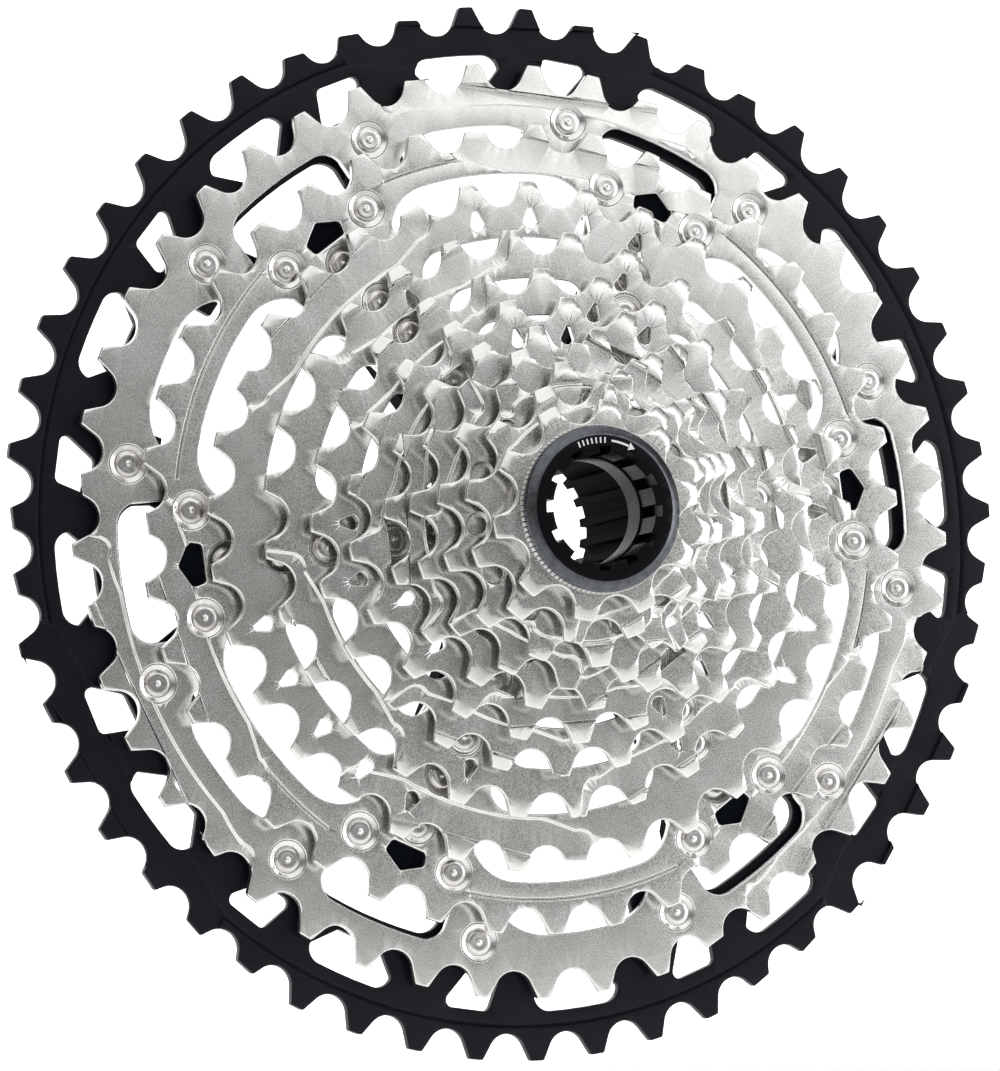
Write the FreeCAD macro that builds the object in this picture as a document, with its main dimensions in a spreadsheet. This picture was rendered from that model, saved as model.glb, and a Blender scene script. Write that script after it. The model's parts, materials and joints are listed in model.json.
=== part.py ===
import FreeCAD, Part
import math
import os
import Sketcher
from FreeCAD import Vector, Placement, Rotation

# Twelve-speed cassette: twelve toothed plates stacked along Y on one axis.
# Y is the axle, the small plates face -Y, +Z is up.  The origin is the centre
# of the rear face of the splined hub, the face that seats on the freehub.
# Angles are measured in the XZ plane, from +X towards +Z.

doc = FreeCAD.newDocument("cassette")
sheet = doc.addObject("Spreadsheet::Sheet", "Dims")
values = {}


def dim(name, value):
    row = len(values) + 1
    values[name] = value
    sheet.set("A%d" % row, name)
    sheet.set("B%d" % row, str(value))
    sheet.setAlias("B%d" % row, name)


# ---------------------------------------------------------------- dimensions
dim("chain_pitch", 12.7)
dim("seat_radius", 3.9)
dim("flank_angle", 62.0)
dim("plate_step", 3.84)
dim("first_face", 3.0)
dim("steel_plate", 1.8)
dim("alloy_plate", 2.2)
dim("ramp_depth", 0.75)
dim("line_depth", 0.3)
dim("arm_count", 6)
dim("arm_angle", 8.1)
dim("hub_radius", 19.0)
dim("hub_length", 31.92)
dim("bore_tip_radius", 14.7)
dim("bore_root_radius", 16.0)
dim("spline_count", 23)
dim("spacer_radius", 18.6)
dim("small_bore", 13.9)
dim("spigot_length", 1.2)
dim("washer_thick", 0.6)
dim("flange_radius", 16.3)
dim("flange_front_radius", 15.7)
dim("face_radius", 13.9)
dim("flange_thick", 2.6)
dim("shank_radius", 13.5)
dim("shank_length", 10.4)
dim("knurl_count", 100)
dim("tool_radius", 10.5)
dim("through_radius", 10.2)
dim("notch_depth", 7.2)
dim("notch_radius", 11.9)
dim("notch_count", 12)
dim("counterbore_radius", 3.75)
dim("counterbore_depth", 0.7)
dim("dimple_depth", 0.9)
dim("rivet_hole_radius", 1.7)

TEETH = [51, 45, 39, 33, 28, 24, 21, 18, 16, 14, 12, 10]
for count in TEETH:
    dim("teeth_%dt" % count, count)
doc.recompute()

STEP = values["plate_step"]
STEEL = values["steel_plate"]
ALLOY = values["alloy_plate"]
ARM = values["arm_angle"]
RIVET_45 = ARM + 15.3
HOLE = values["rivet_hole_radius"]
SEAT = values["counterbore_radius"]
LOW_39 = 63.4
PIN_33 = 53.4
PIN_28 = 45.4
PIN_24 = 33.1
PIN_21 = 26.3
PIN_18 = 21.8


def polar(radius, degrees):
    turn = math.radians(degrees)
    return Vector(radius * math.cos(turn), radius * math.sin(turn), 0)


def pitch_radius(count):
    return values["chain_pitch"] / (2 * math.sin(math.pi / count))


def front(level):
    return -(values["first_face"] + STEP * level)


# ------------------------------------------------------------ sketch helpers
def new_body(label):
    body = doc.addObject("PartDesign::Body", label)
    body.Label = label
    body.AllowCompound = True
    return body


def new_sketch(body, name, role="XZ_Plane"):
    sketch = body.newObject("Sketcher::SketchObject", name)
    for feature in body.Origin.OriginFeatures:
        if feature.Role == role:
            sketch.AttachmentSupport = (feature, "")
    sketch.MapMode = "FlatFace"
    return sketch


def contour(sketch, start, steps):
    """Closed outline: each step is an end point, or (middle point, end point)."""
    here = start
    for step in steps:
        if isinstance(step, tuple):
            sketch.addGeometry(Part.Arc(here, step[0], step[1]), False)
            here = step[1]
        else:
            sketch.addGeometry(Part.LineSegment(here, step), False)
            here = step
    if (here - start).Length > 1e-6:
        sketch.addGeometry(Part.LineSegment(here, start), False)


def leaving(start, direction, end):
    """Middle point of the arc that leaves start along direction and meets end."""
    chord = end - start
    along = Vector(chord).normalize()
    side = direction - along * direction.dot(along)
    if side.Length < 1e-9:
        return (start + end) * 0.5
    angle = along.getAngle(direction)
    rise = 0.5 * chord.Length * math.tan(0.5 * angle)
    return (start + end) * 0.5 + side.normalize() * rise


def rounded(sketch, points, radius):
    """Closed polygon with every corner rounded."""
    corners = []
    total = len(points)
    for index in range(total):
        before = points[index - 1]
        corner = points[index]
        after = points[(index + 1) % total]
        back = (before - corner).normalize()
        ahead = (after - corner).normalize()
        half = 0.5 * back.getAngle(ahead)
        reach = radius / math.tan(half)
        middle = corner + (back + ahead).normalize() * (radius / math.sin(half) - radius)
        corners.append((corner + back * reach, middle, corner + ahead * reach))
    for index in range(total):
        first, middle, last = corners[index]
        following = corners[(index + 1) % total][0]
        sketch.addGeometry(Part.Arc(first, middle, last), False)
        sketch.addGeometry(Part.LineSegment(last, following), False)


def circle(sketch, radius, name=None, centre=Vector(0, 0, 0)):
    index = sketch.addGeometry(Part.Circle(centre, Vector(0, 0, 1), radius), False)
    if name:
        number = sketch.addConstraint(Sketcher.Constraint("Radius", index, radius))
        sketch.setExpression("Constraints[%d]" % number, "Dims.%s" % name)
    return index


def pad(body, sketch, length, reverse=True):
    feature = body.newObject("PartDesign::Pad", sketch.Name + "_pad")
    feature.Profile = sketch
    feature.Reversed = reverse
    if isinstance(length, str):
        feature.setExpression("Length", length)
    else:
        feature.Length = length
    sketch.Visibility = False
    doc.recompute()
    return feature


def pocket(body, sketch, depth=None, both=False):
    feature = body.newObject("PartDesign::Pocket", sketch.Name + "_cut")
    feature.Profile = sketch
    feature.Midplane = both
    if depth is None:
        feature.Type = 1
    elif isinstance(depth, str):
        feature.setExpression("Length", depth)
    else:
        feature.Length = depth
    sketch.Visibility = False
    doc.recompute()
    return feature


def turned(body, sketch, feature, number):
    ring = body.newObject("PartDesign::PolarPattern", feature.Name + "_ring")
    ring.Originals = [feature]
    ring.Axis = (sketch, ["N_Axis"])
    ring.Angle = 360
    if isinstance(number, str):
        ring.setExpression("Occurrences", number)
    else:
        ring.Occurrences = number
    body.Tip = ring
    doc.recompute()
    return ring


def revolve(body, label, profile, kind="PartDesign::Revolution"):
    """Profile is (radius, y) pairs, turned about the Y axis."""
    sketch = new_sketch(body, label + "_profile", "XY_Plane")
    points = [Vector(radius, along, 0) for radius, along in profile]
    contour(sketch, points[0], points[1:])
    feature = body.newObject(kind, label + "_turn")
    feature.Profile = sketch
    feature.ReferenceAxis = (sketch, ["V_Axis"])
    feature.Angle = 360
    sketch.Visibility = False
    doc.recompute()
    return feature


def stand_at(body, level, extra=0.0):
    body.setExpression(
        "Placement.Base.y",
        "-(Dims.first_face + %d * Dims.plate_step) + %.3f" % (level, extra))


# ------------------------------------------------------------ toothed plates
def plate(label, count, level, over, inner, thick="Dims.steel_plate"):
    """Plain ring, front face at y = 0 of its own frame."""
    body = new_body(label)
    middle = pitch_radius(count)
    disc = new_sketch(body, label + "_disc")
    circle(disc, middle + over)
    if isinstance(inner, str):
        circle(disc, values[inner], inner)
    else:
        circle(disc, inner)
    pad(body, disc, thick)
    stand_at(body, level)
    return body


def teeth(body, label, count, phase, over):
    """Tooth gaps: a roller seat with a straight flank on each side."""
    middle = pitch_radius(count)
    seat = values["seat_radius"]
    lean = math.radians(values["flank_angle"])
    gap = new_sketch(body, label + "_gap")
    heading = math.radians(phase + 180.0 / count)
    out = Vector(math.cos(heading), math.sin(heading), 0)
    side = Vector(-math.sin(heading), math.cos(heading), 0)

    def spot(across, outward):
        return out * (middle + outward) + side * across

    foot = seat * math.sin(lean)
    drop = -seat * math.cos(lean)
    top = over + 2.0
    mouth = foot + (top - drop) / math.tan(lean)
    contour(gap, spot(-foot, drop), [
        (spot(0, -seat), spot(foot, drop)),
        spot(mouth, top),
        spot(-mouth, top)])
    cut = pocket(body, gap)
    turned(body, gap, cut, "Dims.teeth_%dt" % count)


def holes(body, name, radius, places, depth=None, both=False):
    sketch = new_sketch(body, name)
    for reach, angle in places:
        circle(sketch, radius, None, polar(reach, angle))
    return pocket(body, sketch, depth, both)


def tip_bevel(body, label, count, over, wide, deep):
    """Bevel on the outer front edge of every tooth."""
    reach = pitch_radius(count) + over
    slope = deep / wide
    revolve(body, label + "_bevel", [
        (reach - wide, 0), (reach + 1, slope * (wide + 1)),
        (reach + 1, -1), (reach - wide, -1)], "PartDesign::Groove")


def ramps(body, label, count, number, start, end, bottom, hook=3.5):
    """Sunk shift ramps: a shallow step between two S-shaped edges."""
    middle = pitch_radius(count)
    root = middle - values["seat_radius"]
    sweep = math.degrees(hook * 1.6 / middle)
    sketch = new_sketch(body, label + "_ramp")
    low = (bottom + root) * 0.5
    first = polar(middle + 4, start - 0.3 * sweep)
    a1 = polar(root, start)
    a2 = polar(low, start + 0.75 * sweep)
    a3 = polar(bottom, start + 2.1 * sweep)
    b3 = polar(bottom, end - 2.1 * sweep)
    b2 = polar(low, end - 0.75 * sweep)
    b1 = polar(root, end)
    last = polar(middle + 4, end + 0.3 * sweep)
    inward = (a1 - first).normalize()
    m1 = leaving(a1, inward, a2)
    m2 = leaving(a3, (b3 - a3).normalize() * -1, a2)
    m3 = leaving(b3, (b3 - a3).normalize(), b2)
    outward = (b1 - last).normalize()
    m4 = leaving(b1, outward, b2)
    contour(sketch, first, [
        a1, (m1, a2), (m2, a3),
        (polar(bottom, 0.5 * (start + end)), b3),
        (m3, b2), (m4, b1), last])
    cut = pocket(body, sketch, "Dims.ramp_depth")
    return turned(body, sketch, cut, number)


def low_teeth(body, label, count, phase, number, picks, cap):
    """Shorter teeth at the ends of the ramps, trimmed to cap above the pitch circle."""
    step = 360.0 / count
    middle = pitch_radius(count)
    sketch = new_sketch(body, label + "_low")
    for pick, side in picks:
        angle = phase + pick * step
        near = polar(middle + cap, angle - side * 0.34 * step)
        far = polar(middle + cap - 1.3, angle + side * 0.5 * step)
        contour(sketch, near, [
            far,
            polar(middle + 5, angle + side * 0.5 * step),
            polar(middle + 5, angle - side * 0.5 * step),
            polar(middle + cap + 0.4, angle - side * 0.5 * step)])
    cut = pocket(body, sketch)
    return turned(body, sketch, cut, number)


def windows(body, name, centre, top, flat, corner, wide, bottom, narrow, number=6):
    """Open windows: arc at radius top over +-flat degrees, round corners down to
    (corner, wide), straight sides down to (bottom, narrow)."""
    sketch = new_sketch(body, name)
    left = polar(top, centre + flat)
    right = polar(top, centre - flat)
    low_left = polar(corner, centre + wide)
    low_right = polar(corner, centre - wide)
    along = polar(1, centre + flat + 90)
    back = polar(1, centre - flat - 90)
    contour(sketch, right, [
        (polar(top, centre), left),
        (leaving(left, along, low_left), low_left),
        polar(bottom, centre + narrow),
        (polar(bottom, centre), polar(bottom, centre - narrow)),
        low_right,
        (leaving(right, back, low_right), right)])
    cut = pocket(body, sketch)
    return turned(body, sketch, cut, number)


def drop_holes(body, name, radius, angles, size=1.0):
    """Small holes, pointed outwards and round inwards."""
    sketch = new_sketch(body, name)
    for angle in angles:
        out = polar(1, angle)
        side = polar(1, angle + 90)
        mid = out * radius
        left = mid + side * (1.05 * size) - out * (0.55 * size)
        right = mid - side * (1.05 * size) - out * (0.55 * size)
        tip_l = mid + side * (0.32 * size) + out * (1.3 * size)
        tip_r = mid - side * (0.32 * size) + out * (1.3 * size)
        contour(sketch, left, [
            (mid - out * (1.3 * size), right),
            tip_r,
            (mid + out * (1.42 * size), tip_l)])
    return pocket(body, sketch)


def splined_bore(body, name, depth=None, both=False):
    """Gaps between the splines of the bore, cut outwards from the tip circle."""
    count = values["spline_count"]
    low = values["bore_tip_radius"] - 0.3
    high = values["bore_root_radius"]
    half = 360.0 / count * 0.27
    sketch = new_sketch(body, name)
    contour(sketch, polar(low, -half * 1.15), [
        polar(high, -half),
        (polar(high, 0), polar(high, half)),
        polar(low, half * 1.15)])
    cut = pocket(body, sketch, depth, both)
    return turned(body, sketch, cut, "Dims.spline_count")


def arm_places(radius, offset=0.0):
    return [(radius, ARM + 60 * turn + offset) for turn in range(6)]


# ------------------------------------------------------------- 51T, alloy rim
big = plate("sprocket_51t", 51, 0, 1.4, 75.0, "Dims.alloy_plate")
windows(big, "rim_wide", 7.9, 95.0, 3.6, 92.2, 5.6, 87.3, 3.0, 12)
sketch = new_sketch(big, "rim_narrow")
rounded(sketch, [polar(95.1, 20.2), polar(95.1, 26.4), polar(87.4, 27.9), polar(87.6, 23.2)], 1.4)
turned(big, sketch, pocket(big, sketch), 12)
windows(big, "ring_open", 8.4, 82.3, 6.6, 79.2, 9.7, 70.0, 10.4, 12)
ramps(big, "big", 51, 3, 72.2, 112.0, 94.2)
low_teeth(big, "big", 51, 4.2, 3,
          [(8, 1), (9, 1), (11, 1), (14, -1), (15, -1), (16, -1)], 0.55)
rivets_45 = [(82.0, RIVET_45 + 30 * turn) for turn in range(12)]
holes(big, "big_rivet", HOLE, rivets_45)
sketch = new_sketch(big, "rim_line")
circle(sketch, 98.1)
circle(sketch, 97.6)
pocket(big, sketch, "Dims.line_depth")
teeth(big, "big", 51, 4.2, 1.4)

# ------------------------------------------------------------------ 45T plate
next_45 = plate("sprocket_45t", 45, 1, 1.4, 74.3)
windows(next_45, "high_open", 8.4, 83.6, 6.6, 80.6, 9.7, 70.0, 10.9)
windows(next_45, "arched_open", 38.4, 80.0, 5.0, 76.4, 11.6, 70.0, 12.4)
ramps(next_45, "next_45", 45, 3, 63.2, 110.0, 84.2)
low_teeth(next_45, "next_45", 45, 0.68, 3, [(7, 1), (9, 1), (13, -1)], 0.5)
holes(next_45, "seat_45", SEAT, rivets_45, "Dims.counterbore_depth")
holes(next_45, "rivet_45", HOLE, rivets_45)
sketch = new_sketch(next_45, "arch_line")
for inset in (0.0, 0.5):
    lean = 0.4 * inset
    left = polar(84.6 - inset, 28.6 + lean)
    right = polar(84.6 - inset, 38.4 - lean)
    low_left = polar(81.2 + inset, 25.9 + 1.6 * lean)
    low_right = polar(81.4 + inset, 41.9 - 1.6 * lean)
    contour(sketch, low_left, [
        (leaving(left, polar(-1, 118.6), low_left), left),
        (polar(84.6 - inset, 33.5), right),
        (leaving(right, polar(-1, 128.4), low_right), low_right),
        (polar(81.3 + inset, 34.0), low_left)])
turned(next_45, sketch, pocket(next_45, sketch, "Dims.line_depth"), 6)
teeth(next_45, "next_45", 45, 0.68, 1.4)

# ------------------------------------------------------------------ 39T plate
third = plate("sprocket_39t", 39, 2, 1.1, 49.6)
windows(third, "open_39", 38.1, 69.8, 11.0, 65.0, 18.6, 46.0, 20.0)
sketch = new_sketch(third, "arm_hole")
rounded(sketch, [polar(73.0, ARM), polar(70.6, ARM + 3.5), polar(68.1, ARM + 3.1),
                 polar(68.1, ARM - 3.1), polar(70.6, ARM - 3.5)], 0.9)
turned(third, sketch, pocket(third, sketch), 6)
ramps(third, "third", 39, 3, 58.0, 103.0, 70.6)
low_teeth(third, "third", 39, 6.21, 3, [(6, 1), (10, -1)], 0.3)
pair = arm_places(70.0, 8.55) + arm_places(70.0, -8.55)
holes(third, "seat_39", SEAT, pair, "Dims.counterbore_depth")
holes(third, "rivet_39", HOLE, pair)
holes(third, "seat_39_low", SEAT, arm_places(LOW_39), "Dims.counterbore_depth")
holes(third, "rivet_39_low", HOLE, arm_places(LOW_39) + arm_places(PIN_33))
sketch = new_sketch(third, "line_39")
contour(sketch, polar(73.4, 20.0), [
    (polar(73.4, 38.1), polar(73.4, 55.0)),
    polar(73.0, 55.0),
    (polar(73.0, 38.1), polar(73.0, 20.0))])
turned(third, sketch, pocket(third, sketch, "Dims.line_depth"), 6)
teeth(third, "third", 39, 6.21, 1.1)

# ---------------------------------------- 33T, 28T and 24T, rings with six arms
ring_33 = plate("sprocket_33t", 33, 3, 1.1, 41.2)
windows(ring_33, "open_33", 38.1, 56.6, 14.0, 52.6, 19.0, 38.0, 18.6)
ramps(ring_33, "ring_33", 33, 3, 111.0, 161.0, 57.6)
low_teeth(ring_33, "ring_33", 33, 4.47, 3, [(10, 1), (14, -1)], 0.2)
drop_holes(ring_33, "drops_33", 60.4,
           [4.6, 15.6, 26.3, 69.8, 80.7, 91.6, 102.3, 200.7, 211.6, 222.6, 233.5,
            244.4, 331.9, 342.6, 353.5], 1.45)
holes(ring_33, "seat_33", SEAT, arm_places(PIN_33), "Dims.counterbore_depth")
holes(ring_33, "rivet_33", HOLE, arm_places(PIN_33) + arm_places(PIN_28))
tip_bevel(ring_33, "edge_33", 33, 1.1, 1.6, 0.4)
teeth(ring_33, "ring_33", 33, 4.47, 1.1)

ring_28 = plate("sprocket_28t", 28, 4, 1.05, 29.2)
windows(ring_28, "open_28", 38.1, 48.0, 13.0, 43.6, 18.4, 26.0, 17.0)
ramps(ring_28, "ring_28", 28, 4, 98.5, 146.0, 48.8)
drop_holes(ring_28, "drops_28", 50.7, [71.4, 123.0, 251.9, 303.3], 1.3)
holes(ring_28, "seat_28", SEAT, arm_places(PIN_28), "Dims.counterbore_depth")
holes(ring_28, "rivet_28", HOLE, arm_places(PIN_28) + arm_places(PIN_24))
tip_bevel(ring_28, "edge_28", 28, 1.05, 2.0, 0.5)
teeth(ring_28, "ring_28", 28, 7.3, 1.05)

ring_24 = plate("sprocket_24t", 24, 5, 1.0, 22.6)
windows(ring_24, "open_24", 38.1, 40.2, 11.0, 36.0, 17.0, 20.0, 12.0)
ramps(ring_24, "ring_24", 24, 3, 108.0, 158.0, 41.0)
drop_holes(ring_24, "drops_24", 42.0, [62.3, 78.0, 182.6, 197.7, 302.3, 317.9], 1.35)
holes(ring_24, "seat_24", SEAT, arm_places(PIN_24), "Dims.counterbore_depth")
holes(ring_24, "rivet_24", HOLE, arm_places(PIN_24) + arm_places(PIN_21))
tip_bevel(ring_24, "edge_24", 24, 1.0, 2.1, 0.55)
teeth(ring_24, "ring_24", 24, 2.5, 1.0)


# ---------------------------------------------- 21T to 16T, nearly full plates
def trapeze(sketch, angle, far, far_half, near, near_half, radius):
    out = polar(1, angle)
    side = polar(1, angle + 90)
    rounded(sketch, [out * far + side * far_half, out * far - side * far_half,
                     out * near - side * near_half, out * near + side * near_half], radius)


ring_21 = plate("sprocket_21t", 21, 6, 1.0, "hub_radius")
sketch = new_sketch(ring_21, "open_21")
trapeze(sketch, ARM, 35.6, 5.6, 30.4, 7.6, 1.3)
turned(ring_21, sketch, pocket(ring_21, sketch), 6)
sketch = new_sketch(ring_21, "slot_21")
trapeze(sketch, ARM + 30, 29.6, 6.6, 25.2, 4.4, 1.6)
turned(ring_21, sketch, pocket(ring_21, sketch), 6)
ramps(ring_21, "ring_21", 21, 3, 126.0, 186.0, 34.6)
drop_holes(ring_21, "drops_21", 35.9, [87.4, 104.4, 207.7, 224.9, 327.9, 345.8], 1.35)
holes(ring_21, "seat_21", 3.3, arm_places(PIN_21), "Dims.counterbore_depth")
holes(ring_21, "rivet_21", HOLE, arm_places(PIN_21) + arm_places(PIN_18, 24))
tip_bevel(ring_21, "edge_21", 21, 1.0, 2.2, 0.6)
teeth(ring_21, "ring_21", 21, 1.7, 1.0)

ring_18 = plate("sprocket_18t", 18, 7, 1.0, "hub_radius")
sketch = new_sketch(ring_18, "open_18")
trapeze(sketch, ARM - 6, 28.9, 7.6, 24.4, 5.4, 1.5)
turned(ring_18, sketch, pocket(ring_18, sketch), 6)
ramps(ring_18, "ring_18", 18, 3, 30.0, 96.0, 29.8)
holes(ring_18, "rivet_18", HOLE, arm_places(PIN_18, 24) + arm_places(PIN_18, 42))
tip_bevel(ring_18, "edge_18", 18, 1.0, 2.3, 0.6)
teeth(ring_18, "ring_18", 18, 19.45, 1.0)

ring_16 = plate("sprocket_16t", 16, 8, 1.0, "bore_tip_radius")
splined_bore(ring_16, "spline_16")
ramps(ring_16, "ring_16", 16, 4, 42.0, 92.0, 26.4, 3.0)
holes(ring_16, "rivet_16", HOLE, arm_places(PIN_18, 42))
tip_bevel(ring_16, "edge_16", 16, 1.0, 2.3, 0.6)
teeth(ring_16, "ring_16", 16, 20.3, 1.0)

# --------------------------------------------------- loose plates, 14T to 10T
loose_14 = plate("sprocket_14t", 14, 9, 1.0, "bore_tip_radius")
splined_bore(loose_14, "spline_14")
holes(loose_14, "dimple", 2.2, [(21.7, 20.5 + 360.0 / 14 * (turn + 0.5)) for turn in range(14)],
      "Dims.dimple_depth")
ramps(loose_14, "loose_14", 14, 2, 60.0, 132.0, 24.6, 2.6)
tip_bevel(loose_14, "edge_14", 14, 1.0, 2.3, 0.6)
teeth(loose_14, "loose_14", 14, 20.5, 1.0)

loose_12 = plate("sprocket_12t", 12, 10, 0.8, "bore_tip_radius")
splined_bore(loose_12, "spline_12")
ramps(loose_12, "loose_12", 12, 2, 84.0, 158.0, 19.6, 2.2)
tip_bevel(loose_12, "edge_12", 12, 0.8, 2.2, 0.6)
teeth(loose_12, "loose_12", 12, 22.6, 0.8)

# The 10T plate stands on a shoulder and keys into the front of the 12T bore.
loose_10 = plate("sprocket_10t", 10, 11, 0.8, "small_bore")
tip_bevel(loose_10, "edge_10", 10, 0.8, 2.2, 0.6)
teeth(loose_10, "loose_10", 10, 11.2, 0.8)
shoulder = new_sketch(loose_10, "shoulder")
circle(shoulder, 16.5)
circle(shoulder, values["small_bore"], "small_bore")
pad(loose_10, shoulder, "Dims.plate_step")
spigot = new_sketch(loose_10, "spigot")
circle(spigot, values["bore_tip_radius"] - 0.2)
circle(spigot, values["small_bore"], "small_bore")
pad(loose_10, spigot, "Dims.plate_step + Dims.spigot_length")
tab = new_sketch(loose_10, "tab")
half = 360.0 / values["spline_count"] * 0.2
contour(tab, polar(14.2, -half * 1.15), [
    polar(15.7, -half), (polar(15.7, 0), polar(15.7, half)), polar(14.2, half * 1.15)])
tabs = pad(loose_10, tab, "Dims.plate_step + Dims.spigot_length")
turned(loose_10, tab, tabs, "Dims.spline_count")

# ------------------------------------------- spacers of the loose plates, washer
for label, level in (("spacer_14t", 8), ("spacer_12t", 9)):
    spacer = new_body(label)
    ring = new_sketch(spacer, label + "_ring")
    circle(ring, values["spacer_radius"], "spacer_radius")
    circle(ring, values["bore_tip_radius"], "bore_tip_radius")
    pad(spacer, ring, "Dims.plate_step - Dims.steel_plate", False)
    splined_bore(spacer, label + "_spline")
    stand_at(spacer, level)

washer = new_body("lockring_washer")
ring = new_sketch(washer, "washer_ring")
circle(ring, 16.0)
circle(ring, values["small_bore"], "small_bore")
pad(washer, ring, "Dims.washer_thick", False)
stand_at(washer, 11)

# ------------------------------------------------------------------- lockring
lockring = new_body("lockring")
flange = values["flange_thick"]
shank = values["shank_radius"]
reach = values["shank_length"]
profile = [
    (values["tool_radius"], -flange), (values["face_radius"], -flange),
    (values["flange_front_radius"], 0.75 - flange), (values["flange_radius"], -0.1),
    (values["flange_radius"], 0), (shank - 0.5, 0)]
THREAD_START = 3.6
RIDGE = 0.9
for turn in range(7):
    along = THREAD_START + turn * RIDGE
    profile += [(shank - 0.55, along), (shank, along + 0.35), (shank, along + 0.5)]
ledge = values["notch_depth"] - flange
profile += [(shank - 0.55, reach - 0.5), (shank - 1.1, reach), (values["through_radius"], reach),
            (values["through_radius"], ledge), (values["tool_radius"], ledge)]
revolve(lockring, "lockring", profile)
notch = new_sketch(lockring, "notch")
half = 360.0 / values["notch_count"] * 0.2
contour(notch, polar(9.5, -half), [
    polar(values["notch_radius"], -half),
    (polar(values["notch_radius"], 0), polar(values["notch_radius"], half)),
    polar(9.5, half)])
notch.AttachmentOffset = Placement(Vector(0, 0, flange), Rotation())
turned(lockring, notch, pocket(lockring, notch, "Dims.notch_depth"), "Dims.notch_count")
knurl = new_sketch(lockring, "knurl")
half = 360.0 / values["knurl_count"] * 0.3
contour(knurl, polar(15.72, 0), [polar(16.9, half * 1.4), polar(16.9, -half * 1.4)])
knurl.AttachmentOffset = Placement(Vector(0, 0, flange), Rotation())
turned(lockring, knurl, pocket(lockring, knurl, flange + 1.0), "Dims.knurl_count")
stand_at(lockring, 11, -values["washer_thick"])

# ----------------------------------------------------------- spider, six arms
spider = new_body("spider")
front_39_rear = values["first_face"] + 2 * STEP - STEEL
hub = new_sketch(spider, "hub")
circle(hub, values["hub_radius"], "hub_radius")
circle(hub, values["bore_tip_radius"], "bore_tip_radius")
pad(spider, hub, "Dims.hub_length", False)
lift = Placement(Vector(0, 0, values["first_face"]), Rotation())
arm = new_sketch(spider, "arm")
arm.AttachmentOffset = lift
ahead = polar(1, ARM)
across = polar(1, ARM + 90)
root_l = ahead * 17.0 + across * 9.5
root_r = ahead * 17.0 - across * 9.5
waist_l = ahead * 30.0 + across * 6.2
waist_r = ahead * 30.0 - across * 6.2
neck_l = ahead * 52.0 + across * 6.2
neck_r = ahead * 52.0 - across * 6.2
wing_l = polar(66.5, ARM + 11.0)
wing_r = polar(66.5, ARM - 11.0)
tip_l = polar(73.8, ARM + 12.4)
tip_r = polar(73.8, ARM - 12.4)
crotch_l = polar(73.2, ARM + 4.0)
crotch_r = polar(73.2, ARM - 4.0)
contour(arm, root_l, [
    (leaving(waist_l, ahead * -1, root_l), waist_l),
    neck_l,
    (leaving(neck_l, ahead, wing_l), wing_l),
    tip_l,
    crotch_l,
    crotch_r,
    tip_r,
    wing_r,
    (leaving(neck_r, ahead, wing_r), neck_r),
    waist_r,
    (leaving(waist_r, ahead * -1, root_r), root_r)])
arms = pad(spider, arm, front_39_rear - values["first_face"], False)
turned(spider, arm, arms, "Dims.arm_count")
for turn, name in ((-1, "finger_low"), (1, "finger_high")):
    finger = new_sketch(spider, name)
    finger.AttachmentOffset = lift
    far = ARM + turn * 15.3
    rounded(finger, [polar(70.0, ARM + turn * 7.5), polar(86.0, far - turn * 3.2),
                     polar(86.4, far + turn * 3.2), polar(80.0, far + turn * 3.9),
                     polar(69.5, ARM + turn * 12.0)], 1.2)
    fingers = pad(spider, finger, STEP - STEEL, False)
    turned(spider, finger, fingers, "Dims.arm_count")
holes(spider, "spider_rivets", HOLE, rivets_45 + pair + arm_places(LOW_39) + arm_places(PIN_33),
      None, True)
splined_bore(spider, "spline_hub", None, True)


# --------------------------------------------------------------------- rivets
def rivet(body, name, place, head, tail, head_radius=3.68, dished=True, collars=()):
    """One rivet: head face at y = head, rear end at y = tail."""
    reach, angle = place
    spot = polar(reach, angle)
    sketch = new_sketch(body, name, "XY_Plane")
    sketch.AttachmentOffset = Placement(
        Vector(spot.x, 0, spot.y), Rotation(Vector(0, 1, 0), -angle))
    shaft = values["rivet_hole_radius"] - 0.05
    if dished:
        profile = [(0, head - 0.72), (0.16, head - 0.7), (0.3, head - 0.6), (2.05, head - 0.64),
                   (2.2, head - 0.58), (2.32, head - 0.12), (head_radius - 0.8, head - 0.12),
                   (head_radius, head - 0.6), (head_radius, head)]
    else:
        profile = [(0, head - 0.5), (head_radius - 0.4, head - 0.5), (head_radius, head - 0.2),
                   (head_radius, head)]
    profile += [(shaft, head)]
    for low, high in collars:
        profile += [(shaft, low), (shaft + 1.2, low), (shaft + 1.2, high), (shaft, high)]
    profile += [(shaft, tail - 0.5), (2.5, tail - 0.5), (2.3, tail), (0, tail)]
    points = [Vector(radius, along, 0) for radius, along in profile]
    contour(sketch, points[0], points[1:])
    feature = body.newObject("PartDesign::Revolution", name + "_turn")
    feature.Profile = sketch
    feature.ReferenceAxis = (sketch, ["V_Axis"])
    feature.Angle = 360
    sketch.Visibility = False
    doc.recompute()
    return feature


def rivet_ring(label, shapes, number):
    """Rivets of one kind, repeated round the axis."""
    body = new_body(label)
    made = []
    for index, settings in enumerate(shapes):
        made.append(rivet(body, "%s_%d" % (label, index), *settings))
    ring = body.newObject("PartDesign::PolarPattern", label + "_ring")
    ring.Originals = made
    for feature in body.Origin.OriginFeatures:
        if feature.Role == "Y_Axis":
            ring.Axis = (feature, [""])
    ring.Angle = 360
    ring.Occurrences = number
    body.Tip = ring
    doc.recompute()
    return body


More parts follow.
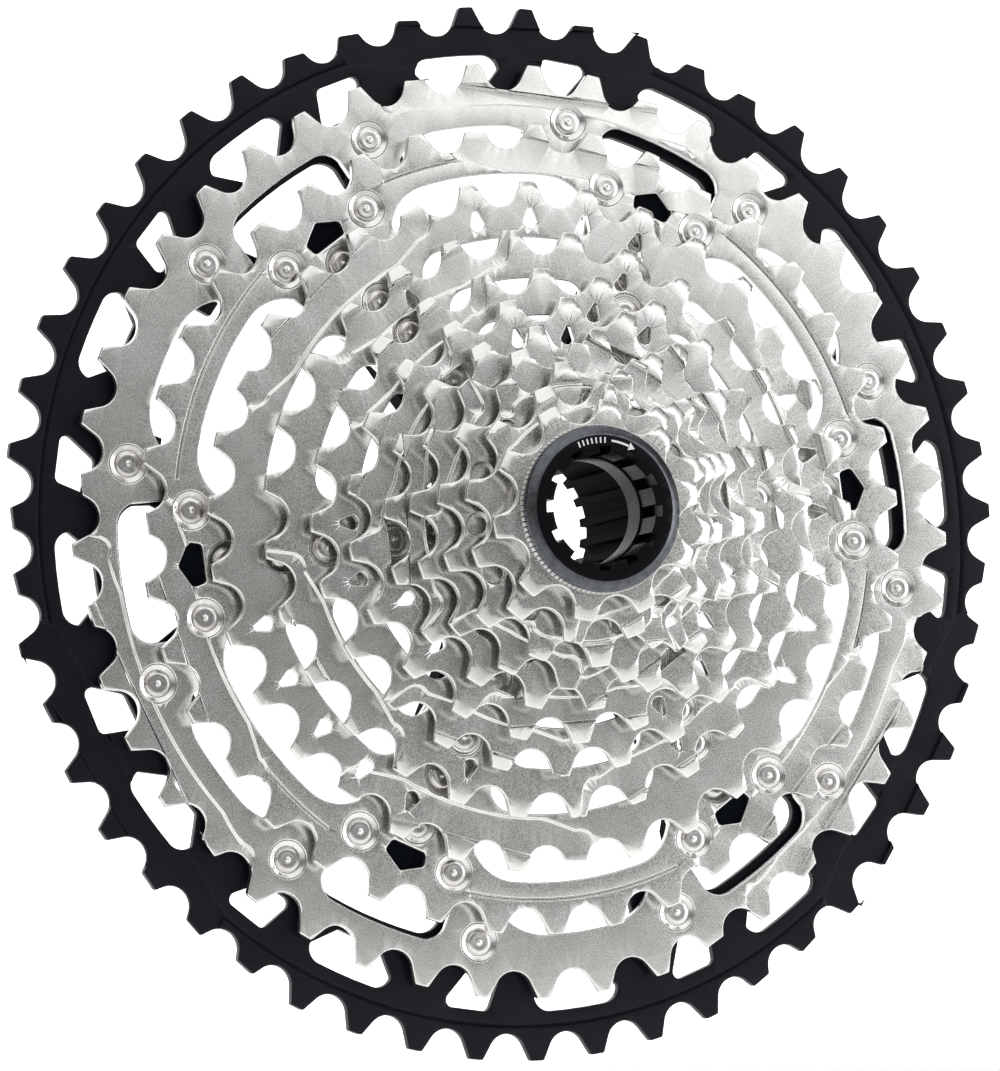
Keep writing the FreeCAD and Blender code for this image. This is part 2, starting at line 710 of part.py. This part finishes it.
SUNK = values["counterbore_depth"]
GAP = (STEEL, STEP)
rivet_ring("rivets_45t", [((82.0, RIVET_45), front(1) + SUNK, front(0) + ALLOY + 0.5)], 12)
rivet_ring("rivets_39t", [((70.0, ARM + 8.55), front(2) + SUNK, front(0) + 0.5),
                          ((70.0, ARM - 8.55), front(2) + SUNK, front(0) + 0.5)], 6)
rivet_ring("rivets_39t_inner", [((LOW_39, ARM), front(2) + SUNK, front(0) + 0.5)], 6)
rivet_ring("rivets_33t", [((PIN_33, ARM), front(3) + SUNK, front(0) + 0.5, 3.68, True,
                           [(front(3) + GAP[0], front(3) + GAP[1])])], 6)
for label, level, reach, head_radius in (
        ("rivets_28t", 4, PIN_28, 3.68), ("rivets_24t", 5, PIN_24, 3.68),
        ("rivets_21t", 6, PIN_21, 3.23)):
    rivet_ring(label, [((reach, ARM), front(level) + SUNK, front(level) + STEP + STEEL + 0.5,
                        head_radius, True,
                        [(front(level) + GAP[0], front(level) + GAP[1])])], 6)
for label, level, offset in (("rivets_18t", 7, 24), ("rivets_16t", 8, 42)):
    rivet_ring(label, [((PIN_18, ARM + offset), front(level), front(level) + STEP + STEEL + 0.5,
                        2.4, False, [(front(level) + GAP[0], front(level) + GAP[1])])], 6)

# ------------------------------------------------------------ check and export
doc.recompute()
problems = []
for item in doc.Objects:
    if "Invalid" in item.State or "Error" in item.State:
        problems.append(item.Name + " " + str(item.State))
nodes = [item for item in doc.Objects if item.TypeId == "PartDesign::Body"]
for node in nodes:
    if node.Shape.isNull() or not node.Shape.isValid() or not node.Shape.Solids:
        problems.append(node.Label + " has no valid solid")
if problems:
    raise RuntimeError("; ".join(problems))

os.makedirs("parts", exist_ok=True)
for node in nodes:
    node.Shape.exportStep("parts/%s.step" % node.Label)
    box = node.Shape.BoundBox
    print("%-18s solids %2d volume %9.1f  y %7.2f..%7.2f  r %6.2f" % (
        node.Label, len(node.Shape.Solids), node.Shape.Volume, box.YMin, box.YMax, box.XMax))
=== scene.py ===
"""The looks of a twelve-speed bicycle cassette: camera, studio, materials and small marks round the CAD frame."""
import json
import math

import bmesh
import bpy
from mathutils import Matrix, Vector

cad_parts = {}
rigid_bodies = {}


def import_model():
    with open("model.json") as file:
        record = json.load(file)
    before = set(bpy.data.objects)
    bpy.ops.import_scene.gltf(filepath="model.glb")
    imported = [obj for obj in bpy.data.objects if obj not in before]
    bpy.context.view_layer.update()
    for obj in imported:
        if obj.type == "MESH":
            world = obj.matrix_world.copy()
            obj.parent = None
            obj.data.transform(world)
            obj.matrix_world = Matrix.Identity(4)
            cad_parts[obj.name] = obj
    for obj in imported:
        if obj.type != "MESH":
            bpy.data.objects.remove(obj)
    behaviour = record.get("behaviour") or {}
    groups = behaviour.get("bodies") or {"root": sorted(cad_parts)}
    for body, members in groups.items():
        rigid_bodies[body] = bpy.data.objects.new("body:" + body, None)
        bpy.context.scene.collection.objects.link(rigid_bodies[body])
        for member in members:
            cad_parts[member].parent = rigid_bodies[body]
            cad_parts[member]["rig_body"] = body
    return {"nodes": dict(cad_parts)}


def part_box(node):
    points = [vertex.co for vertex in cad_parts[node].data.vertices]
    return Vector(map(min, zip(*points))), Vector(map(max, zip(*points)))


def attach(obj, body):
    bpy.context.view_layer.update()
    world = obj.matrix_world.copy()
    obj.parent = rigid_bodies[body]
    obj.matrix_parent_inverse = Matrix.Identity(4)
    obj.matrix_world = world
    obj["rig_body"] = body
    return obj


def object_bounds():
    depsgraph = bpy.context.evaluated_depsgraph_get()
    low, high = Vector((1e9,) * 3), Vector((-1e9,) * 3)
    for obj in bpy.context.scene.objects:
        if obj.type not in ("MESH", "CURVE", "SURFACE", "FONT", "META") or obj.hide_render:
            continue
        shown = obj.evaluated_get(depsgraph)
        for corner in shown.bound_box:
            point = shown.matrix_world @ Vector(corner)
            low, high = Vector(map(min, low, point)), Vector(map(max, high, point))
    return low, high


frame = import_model()
cad_low, cad_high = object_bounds()

MM = 0.001
NODES = frame["nodes"]
STEEL_PLATES = [name for name in NODES if name.startswith("sprocket_") and name != "sprocket_51t"]
RIVETS = [name for name in NODES if name.startswith("rivets_")]


def toward(azimuth, elevation):
    """The unit vector out from the axle's centre; azimuth 0 is -Y, 90 is +X."""
    a, e = math.radians(azimuth), math.radians(elevation)
    return Vector((math.sin(a) * math.cos(e), -math.cos(a) * math.cos(e), math.sin(e)))


# ---------------------------------------------------------------- camera

VIEW_AZIMUTH = -21.35
VIEW_ELEVATION = -5.47
VIEW_DISTANCE = 1.0165
VIEW_LENS = 172.9
VIEW_SHIFT = 3.37
SHIFT_TURN = math.radians(VIEW_AZIMUTH)
AIM = Vector((-VIEW_SHIFT * math.cos(SHIFT_TURN), -3.0 - VIEW_SHIFT * math.sin(SHIFT_TURN), -1.2)) * MM


def make_camera():
    """A long lens, low and to the left, looking slightly up at the small plates."""
    data = bpy.data.cameras.new("camera")
    data.lens = VIEW_LENS
    data.sensor_width = 36.0
    camera = bpy.data.objects.new("camera", data)
    bpy.context.scene.collection.objects.link(camera)
    back = toward(VIEW_AZIMUTH, VIEW_ELEVATION)
    camera.location = AIM + back * VIEW_DISTANCE
    camera.rotation_mode = "QUATERNION"
    camera.rotation_quaternion = (-back).to_track_quat("-Z", "Y")
    bpy.context.scene.camera = camera


# ---------------------------------------------------------------- node helpers

# The colour sockets of a Mix node: its two inputs and its result.
MIX_A, MIX_B, MIX_RESULT = 6, 7, 2


def new_material(name):
    """An empty material and its node tree, with the surface shader linked to the output."""
    material = bpy.data.materials.new(name)
    material.use_nodes = True
    tree = material.node_tree
    tree.nodes.clear()
    output = tree.nodes.new("ShaderNodeOutputMaterial")
    shader = tree.nodes.new("ShaderNodeBsdfPrincipled")
    tree.links.new(shader.outputs["BSDF"], output.inputs["Surface"])
    return material, tree, shader


def join(tree, source, target):
    """Links a socket to a socket."""
    tree.links.new(source, target)


def coordinates(tree):
    """Object coordinates, in metres."""
    return tree.nodes.new("ShaderNodeTexCoord").outputs["Object"]


def noise(tree, place, size, detail=2.0, rough=0.5):
    """A cloudy pattern whose blotches are about size metres across."""
    texture = tree.nodes.new("ShaderNodeTexNoise")
    texture.inputs["Scale"].default_value = 1.0 / size
    texture.inputs["Detail"].default_value = detail
    texture.inputs["Roughness"].default_value = rough
    join(tree, place, texture.inputs["Vector"])
    return texture.outputs["Fac"]


def ramp(tree, factor, low, high, start=0.3, end=0.7):
    """The colour from low to high as the factor goes from start to end."""
    blend = tree.nodes.new("ShaderNodeValToRGB")
    first, last = blend.color_ramp.elements
    first.position, last.position = start, end
    first.color, last.color = (*low, 1.0), (*high, 1.0)
    join(tree, factor, blend.inputs["Fac"])
    return blend.outputs["Color"]


def between(tree, factor, low, high):
    """The number from low to high as the factor goes from 0.3 to 0.7."""
    spread = tree.nodes.new("ShaderNodeMapRange")
    spread.inputs["From Min"].default_value = 0.3
    spread.inputs["From Max"].default_value = 0.7
    spread.inputs["To Min"].default_value = low
    spread.inputs["To Max"].default_value = high
    join(tree, factor, spread.inputs["Value"])
    return spread.outputs["Result"]


def bump(tree, height, depth, strength, under=None):
    """A normal roughened by the height pattern, depth metres from low to high."""
    made = tree.nodes.new("ShaderNodeBump")
    made.inputs["Distance"].default_value = depth
    made.inputs["Strength"].default_value = strength
    join(tree, height, made.inputs["Height"])
    if under is not None:
        join(tree, under, made.inputs["Normal"])
    return made.outputs["Normal"]


# ---------------------------------------------------------------- materials

def satin_nickel():
    """Blasted and nickel-plated steel: a fine sparkling grain under a soft sheen."""
    material, tree, shader = new_material("satin_nickel")
    place = coordinates(tree)
    grain = noise(tree, place, 0.22 * MM, 2.0, 0.6)
    cloud = noise(tree, place, 9.0 * MM, 4.0, 0.6)
    shader.inputs["Metallic"].default_value = 1.0
    join(tree, ramp(tree, cloud, (0.68, 0.67, 0.65), (0.78, 0.78, 0.77)), shader.inputs["Base Color"])
    join(tree, between(tree, grain, 0.20, 0.32), shader.inputs["Roughness"])
    join(tree, bump(tree, grain, 0.016 * MM, 0.35), shader.inputs["Normal"])
    return material


def blend_colours(tree, factor, low, high):
    """The colour from low to high, both sockets, as the factor goes from 0 to 1."""
    mix = tree.nodes.new("ShaderNodeMix")
    mix.data_type = "RGBA"
    join(tree, factor, mix.inputs["Factor"])
    join(tree, low, mix.inputs[MIX_A])
    join(tree, high, mix.inputs[MIX_B])
    return mix.outputs[MIX_RESULT]


def rise(tree, value, start, full, top=1.0):
    """The number from 0 to top as the value goes from start to full."""
    spread = tree.nodes.new("ShaderNodeMapRange")
    spread.inputs["From Min"].default_value = start
    spread.inputs["From Max"].default_value = full
    spread.inputs["To Max"].default_value = top
    join(tree, value, spread.inputs["Value"])
    return spread.outputs["Result"]


def away_from_axle(tree, place):
    """The distance of each point from the axle, in metres."""
    split = tree.nodes.new("ShaderNodeSeparateXYZ")
    join(tree, place, split.inputs["Vector"])
    flat = tree.nodes.new("ShaderNodeCombineXYZ")
    join(tree, split.outputs["X"], flat.inputs["X"])
    join(tree, split.outputs["Z"], flat.inputs["Z"])
    length = tree.nodes.new("ShaderNodeVectorMath")
    length.operation = "LENGTH"
    join(tree, flat.outputs["Vector"], length.inputs[0])
    return length.outputs["Value"]


def black_lockring(face_radius, crest_radius):
    """The lockring's matt black, burnished on the bevel outside the flat face and bare on the knurling's crests."""
    material, tree, shader = new_material("black_lockring")
    place = coordinates(tree)
    grain = noise(tree, place, 0.2 * MM, 2.0, 0.5)
    streak = noise(tree, place, 1.6 * MM, 3.0, 0.6)
    radius = away_from_axle(tree, place)
    bevel = rise(tree, radius, face_radius, face_radius + 0.1 * MM)
    crest = rise(tree, radius, crest_radius - 0.12 * MM, crest_radius)
    matt = ramp(tree, grain, (0.0030, 0.0034, 0.0045), (0.0050, 0.0056, 0.0070))
    burnished = ramp(tree, streak, (0.085, 0.09, 0.10), (0.14, 0.148, 0.16))
    bare = ramp(tree, streak, (0.62, 0.62, 0.63), (0.80, 0.80, 0.80))
    colour = blend_colours(tree, crest, blend_colours(tree, bevel, matt, burnished), bare)
    join(tree, colour, shader.inputs["Base Color"])
    join(tree, bevel, shader.inputs["Metallic"])
    shader.inputs["IOR"].default_value = 1.16
    join(tree, between(tree, grain, 0.22, 0.34), shader.inputs["Roughness"])
    join(tree, bump(tree, grain, 0.006 * MM, 0.3), shader.inputs["Normal"])
    return material


def black_spider():
    """The spider's dull black anodising."""
    material, tree, shader = new_material("black_spider")
    place = coordinates(tree)
    grain = noise(tree, place, 0.25 * MM, 3.0, 0.6)
    shader.inputs["IOR"].default_value = 1.08
    join(tree, ramp(tree, grain, (0.0022, 0.0030, 0.0050), (0.0040, 0.0054, 0.0085)), shader.inputs["Base Color"])
    join(tree, between(tree, grain, 0.60, 0.75), shader.inputs["Roughness"])
    join(tree, bump(tree, grain, 0.01 * MM, 0.3), shader.inputs["Normal"])
    return material


def black_anodised():
    """Anodised alloy: near black, slightly blue, with a very fine satin."""
    material, tree, shader = new_material("black_anodised")
    place = coordinates(tree)
    grain = noise(tree, place, 0.2 * MM, 2.0, 0.5)
    cloud = noise(tree, place, 14.0 * MM, 3.0, 0.5)
    shader.inputs["IOR"].default_value = 1.26
    join(tree, ramp(tree, cloud, (0.0030, 0.0042, 0.0070), (0.0045, 0.0062, 0.0100)), shader.inputs["Base Color"])
    join(tree, between(tree, grain, 0.30, 0.40), shader.inputs["Roughness"])
    join(tree, bump(tree, grain, 0.008 * MM, 0.3), shader.inputs["Normal"])
    return material


def turned_steel():
    """Rivet steel: smooth, bright, with a faint unevenness from the press."""
    material, tree, shader = new_material("turned_steel")
    place = coordinates(tree)
    grain = noise(tree, place, 0.2 * MM, 2.0, 0.5)
    cloud = noise(tree, place, 3.0 * MM, 2.0, 0.5)
    shader.inputs["Metallic"].default_value = 1.0
    join(tree, ramp(tree, cloud, (0.68, 0.665, 0.65), (0.78, 0.77, 0.76)), shader.inputs["Base Color"])
    join(tree, between(tree, grain, 0.20, 0.28), shader.inputs["Roughness"])
    join(tree, bump(tree, grain, 0.006 * MM, 0.25), shader.inputs["Normal"])
    return material


def rolled_steel():
    """The washer's flat rolled steel, brushed one way."""
    material, tree, shader = new_material("rolled_steel")
    place = coordinates(tree)
    streaks = tree.nodes.new("ShaderNodeMapping")
    streaks.inputs["Scale"].default_value = (1.0, 1.0, 12.0)
    join(tree, place, streaks.inputs["Vector"])
    grain = noise(tree, streaks.outputs["Vector"], 1.2 * MM, 3.0, 0.6)
    shader.inputs["Metallic"].default_value = 1.0
    join(tree, ramp(tree, grain, (0.52, 0.50, 0.48), (0.64, 0.62, 0.60)), shader.inputs["Base Color"])
    join(tree, between(tree, grain, 0.24, 0.40), shader.inputs["Roughness"])
    join(tree, bump(tree, grain, 0.01 * MM, 0.3), shader.inputs["Normal"])
    return material


def moulded_resin():
    """The spacers' matt black plastic with a fine spark-eroded texture."""
    material, tree, shader = new_material("moulded_resin")
    place = coordinates(tree)
    grain = noise(tree, place, 0.4 * MM, 3.0, 0.6)
    join(tree, ramp(tree, grain, (0.016, 0.016, 0.018), (0.026, 0.026, 0.028)), shader.inputs["Base Color"])
    join(tree, between(tree, grain, 0.45, 0.62), shader.inputs["Roughness"])
    join(tree, bump(tree, grain, 0.03 * MM, 0.4), shader.inputs["Normal"])
    return material


def printed_ink():
    """White pad-printed ink, slightly thin in places."""
    material, tree, shader = new_material("printed_ink")
    place = coordinates(tree)
    grain = noise(tree, place, 0.3 * MM, 2.0, 0.6)
    join(tree, ramp(tree, grain, (0.62, 0.63, 0.64), (0.86, 0.87, 0.88)), shader.inputs["Base Color"])
    join(tree, between(tree, grain, 0.40, 0.60), shader.inputs["Roughness"])
    return material


def dress(names, material):
    """Gives the CAD nodes of those names one material."""
    for name in names:
        slots = NODES[name].data.materials
        slots.clear()
        slots.append(material)


# ---------------------------------------------------------------- edges

PLATE_EDGE = 0.28 * MM
FINE_EDGE = 0.08 * MM
LOCKRING_EDGE = 0.04 * MM


def soften(name, width):
    """Rounds a CAD node's sharp edges a little with modifiers, so that they catch the light."""
    piece = NODES[name]
    weld = piece.modifiers.new("weld", "WELD")
    weld.merge_threshold = 0.002 * MM
    edge = piece.modifiers.new("edge", "BEVEL")
    edge.width = width
    edge.segments = 2
    edge.limit_method = "ANGLE"
    edge.angle_limit = math.radians(38.0)
    edge.use_clamp_overlap = False
    edge.loop_slide = False
    edge.miter_outer = "MITER_ARC"
    even = piece.modifiers.new("even", "WEIGHTED_NORMAL")
    even.keep_sharp = False


# ---------------------------------------------------------------- studio

FLOOR_HALF = 2.5
BACKDROP_AWAY = 1.6
BACKDROP_GLOW = 1.0
# The floor glows though it is no lamp: painted light, none in front of the object and full from just in front of it
# backwards, standing in for light falling on the floor behind.
FLOOR_GLOW = 0.75
FLOOR_GLOW_STARTS = -0.30
FLOOR_GLOW_FULL = -0.05


def stage_material(name, glow, start=None, full=None):
    """Plain pale paint with a light of its own, which may grow from one place in Y to another."""
    material, tree, shader = new_material(name)
    place = coordinates(tree)
    cloud = noise(tree, place, 0.4, 2.0, 0.5)
    join(tree, ramp(tree, cloud, (0.84, 0.84, 0.84), (0.87, 0.87, 0.87)), shader.inputs["Base Color"])
    shader.inputs["Roughness"].default_value = 0.9
    shader.inputs["Emission Color"].default_value = (1.0, 1.0, 1.0, 1.0)
    shader.inputs["Emission Strength"].default_value = glow
    if start is not None:
        split = tree.nodes.new("ShaderNodeSeparateXYZ")
        join(tree, place, split.inputs["Vector"])
        join(tree, rise(tree, split.outputs["Y"], start, full, glow), shader.inputs["Emission Strength"])
    return material


def stage_sheet(name, corners, material):
    """A flat rectangle of the studio."""
    mesh = bpy.data.meshes.new(name)
    mesh.from_pydata(corners, [], [(0, 1, 2, 3)])
    mesh.materials.append(material)
    sheet = bpy.data.objects.new(name, mesh)
    bpy.context.scene.collection.objects.link(sheet)


def softbox(name, azimuth, elevation, distance, width, height, brightness, colour=(1.0, 1.0, 1.0)):
    """A rectangular light that faces the object, with the brightness that a mirror would show of it."""
    data = bpy.data.lights.new(name, "AREA")
    data.shape = "RECTANGLE"
    data.size = width
    data.size_y = height
    data.energy = brightness * math.pi * width * height
    data.color = colour
    light = bpy.data.objects.new(name, data)
    bpy.context.scene.collection.objects.link(light)
    out = toward(azimuth, elevation)
    light.location = out * distance
    light.rotation_mode = "QUATERNION"
    light.rotation_quaternion = (-out).to_track_quat("-Z", "Y")


def make_studio():
    """A white sweep behind and below, and softboxes in an arc from the left, over the top, to the right."""
    floor = cad_low.z
    far = BACKDROP_AWAY
    # The floor's glow is painted light that fades out in front of the object.
    floor_painted_light = stage_material("floor_painted_light", FLOOR_GLOW, FLOOR_GLOW_STARTS, FLOOR_GLOW_FULL)
    stage_sheet("floor", [(-FLOOR_HALF, -FLOOR_HALF, floor), (FLOOR_HALF, -FLOOR_HALF, floor),
                          (FLOOR_HALF, far, floor), (-FLOOR_HALF, far, floor)], floor_painted_light)
    stage_sheet("backdrop", [(-FLOOR_HALF, far, floor), (FLOOR_HALF, far, floor),
                             (FLOOR_HALF, far, FLOOR_HALF), (-FLOOR_HALF, far, FLOOR_HALF)],
                stage_material("backdrop_paint", BACKDROP_GLOW))
    softbox("key", 34.0, 20.0, 1.3, 0.68, 0.38, 1.75)
    softbox("side", 50.0, 4.0, 1.3, 0.68, 0.38, 3.3)
    softbox("front", -2.0, 34.0, 1.3, 0.92, 0.90, 1.2)
    softbox("left", -45.0, 20.0, 1.3, 0.70, 0.80, 1.0, (1.0, 0.97, 0.92))
    softbox("top", 0.0, 72.0, 1.2, 2.2, 0.8, 1.5)
    softbox("rim", 100.0, 15.0, 1.3, 0.8, 1.0, 0.8)
    world = bpy.data.worlds.new("studio")
    world.use_nodes = True
    fill = world.node_tree.nodes["Background"]
    fill.inputs["Color"].default_value = (1.0, 0.96, 0.92, 1.0)
    fill.inputs["Strength"].default_value = 0.08
    bpy.context.scene.world = world
    bpy.context.scene.view_settings.view_transform = "Standard"


# ---------------------------------------------------------------- marks

def thin_shape(name, outline, face, height, body, material):
    """A flat shape of closed outlines in X and Z, standing height proud of the face at that Y."""
    mesh = bpy.data.meshes.new(name)
    shape = bmesh.new()
    for loop in outline:
        front = [shape.verts.new((x, face - height, z)) for x, z in loop]
        rear = [shape.verts.new((x, face + height, z)) for x, z in loop]
        shape.faces.new(front)
        shape.faces.new(list(reversed(rear)))
        for i in range(len(loop)):
            j = (i + 1) % len(loop)
            shape.faces.new((front[j], front[i], rear[i], rear[j]))
    bmesh.ops.recalc_face_normals(shape, faces=shape.faces)
    shape.to_mesh(mesh)
    shape.free()
    mesh.materials.append(material)
    piece = bpy.data.objects.new(name, mesh)
    bpy.context.scene.collection.objects.link(piece)
    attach(piece, body)


def at(radius, degrees):
    """A point round the axle in X and Z."""
    turn = math.radians(degrees)
    return radius * math.cos(turn), radius * math.sin(turn)


def arc_band(radius, width, start, end, steps=16):
    """A curved bar round the axle."""
    turns = [start + (end - start) * i / steps for i in range(steps + 1)]
    outer = [at(radius + width / 2, t) for t in turns]
    inner = [at(radius - width / 2, t) for t in reversed(turns)]
    return outer + inner


def tick(radius, degrees, length, width):
    """A short straight bar that points to the axle."""
    x, z = at(radius, degrees)
    turn = math.radians(degrees)
    out, side = (math.cos(turn), math.sin(turn)), (-math.sin(turn), math.cos(turn))
    corners = [(-1, -1), (1, -1), (1, 1), (-1, 1)]
    return [(x + out[0] * a * length / 2 + side[0] * b * width / 2,
             z + out[1] * a * length / 2 + side[1] * b * width / 2) for a, b in corners]


LOCKRING_FACE = 13.9 * MM
LOCKRING_CREST = 16.05 * MM


def print_lockring():
    """A plain turning arrow and a row of ticks, in white, on the lockring's face."""
    low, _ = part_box("lockring")
    radius = 12.95 * MM
    head = [at(radius, 62.0), at(radius + 0.8 * MM, 67.5), at(radius - 0.8 * MM, 67.5)]
    shapes = [head, arc_band(radius, 0.4 * MM, 67.0, 84.0)]
    shapes += [tick(radius, 90.0 + 4.0 * i, 1.1 * MM, 0.3 * MM) for i in range(7)]
    thin_shape("lockring_print", shapes, low.y, 0.015 * MM, "lockring", printed_ink())


RAMP_DEPTH = 0.75 * MM
# Where each plate has its stamped marks: radius, angle, and how far the metal there is sunk.
STAMP_PITCH = 1.15 * MM
STAMP_LINE = 0.3 * MM
STAMPS = {
    "sprocket_45t": [(81.4 * MM, 106.5, 0.0), (81.0 * MM, 168.0, 0.0)],
    "sprocket_33t": [(58.5 * MM, 167.0, 0.0), (58.5 * MM, 106.5, 0.0)],
    "sprocket_28t": [(49.9 * MM, 162.5, 0.0), (50.6 * MM, 129.0, RAMP_DEPTH)],
    "sprocket_24t": [(41.6 * MM, 168.0, 0.0), (42.4 * MM, 131.0, RAMP_DEPTH)],
    "sprocket_21t": [(36.9 * MM, 173.0, RAMP_DEPTH), (36.8 * MM, 118.5, 0.0)],
    "sprocket_18t": [(31.6 * MM, 180.0, RAMP_DEPTH), (27.6 * MM, 98.0, 0.0)],
    "sprocket_16t": [(23.6 * MM, 201.0, 0.0), (26.8 * MM, 102.0, 0.0)],
    "sprocket_10t": [(18.2 * MM, 118.0, 0.0), (18.2 * MM, 153.0, 0.0), (18.2 * MM, 46.0, 0.0)],
}


def stamp_plates(material):
    """Three short upright bars over a cross bar, a plain mark, wherever a plate is stamped."""
    for plate_name, places in STAMPS.items():
        low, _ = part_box(plate_name)
        body = NODES[plate_name]["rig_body"]
        for number, (radius, angle, sunk) in enumerate(places):
            pace = math.degrees(STAMP_PITCH / radius)
            bars = [tick(radius, angle + pace * side, 1.5 * MM, STAMP_LINE) for side in (-1, 0, 1)]
            bars.append(arc_band(radius - 1.1 * MM, STAMP_LINE, angle - 1.3 * pace, angle + 1.3 * pace, 4))
            name = "stamp_%s_%d" % (plate_name.split("_")[1], number + 1)
            thin_shape(name, bars, low.y + sunk, 0.03 * MM, body, material)


# ---------------------------------------------------------------- build

make_camera()
make_studio()
dress(STEEL_PLATES, satin_nickel())
rivet_steel = turned_steel()
dress(RIVETS, rivet_steel)
dress(["sprocket_51t"], black_anodised())
dress(["spider"], black_spider())
dress(["lockring"], black_lockring(LOCKRING_FACE, LOCKRING_CREST))
dress(["lockring_washer"], rolled_steel())
dress(["spacer_14t", "spacer_12t"], moulded_resin())
for plate in STEEL_PLATES + ["sprocket_51t"]:
    soften(plate, PLATE_EDGE)
for small in RIVETS + ["spider"]:
    soften(small, FINE_EDGE)
soften("lockring", LOCKRING_EDGE)
print_lockring()
stamp_plates(rivet_steel)
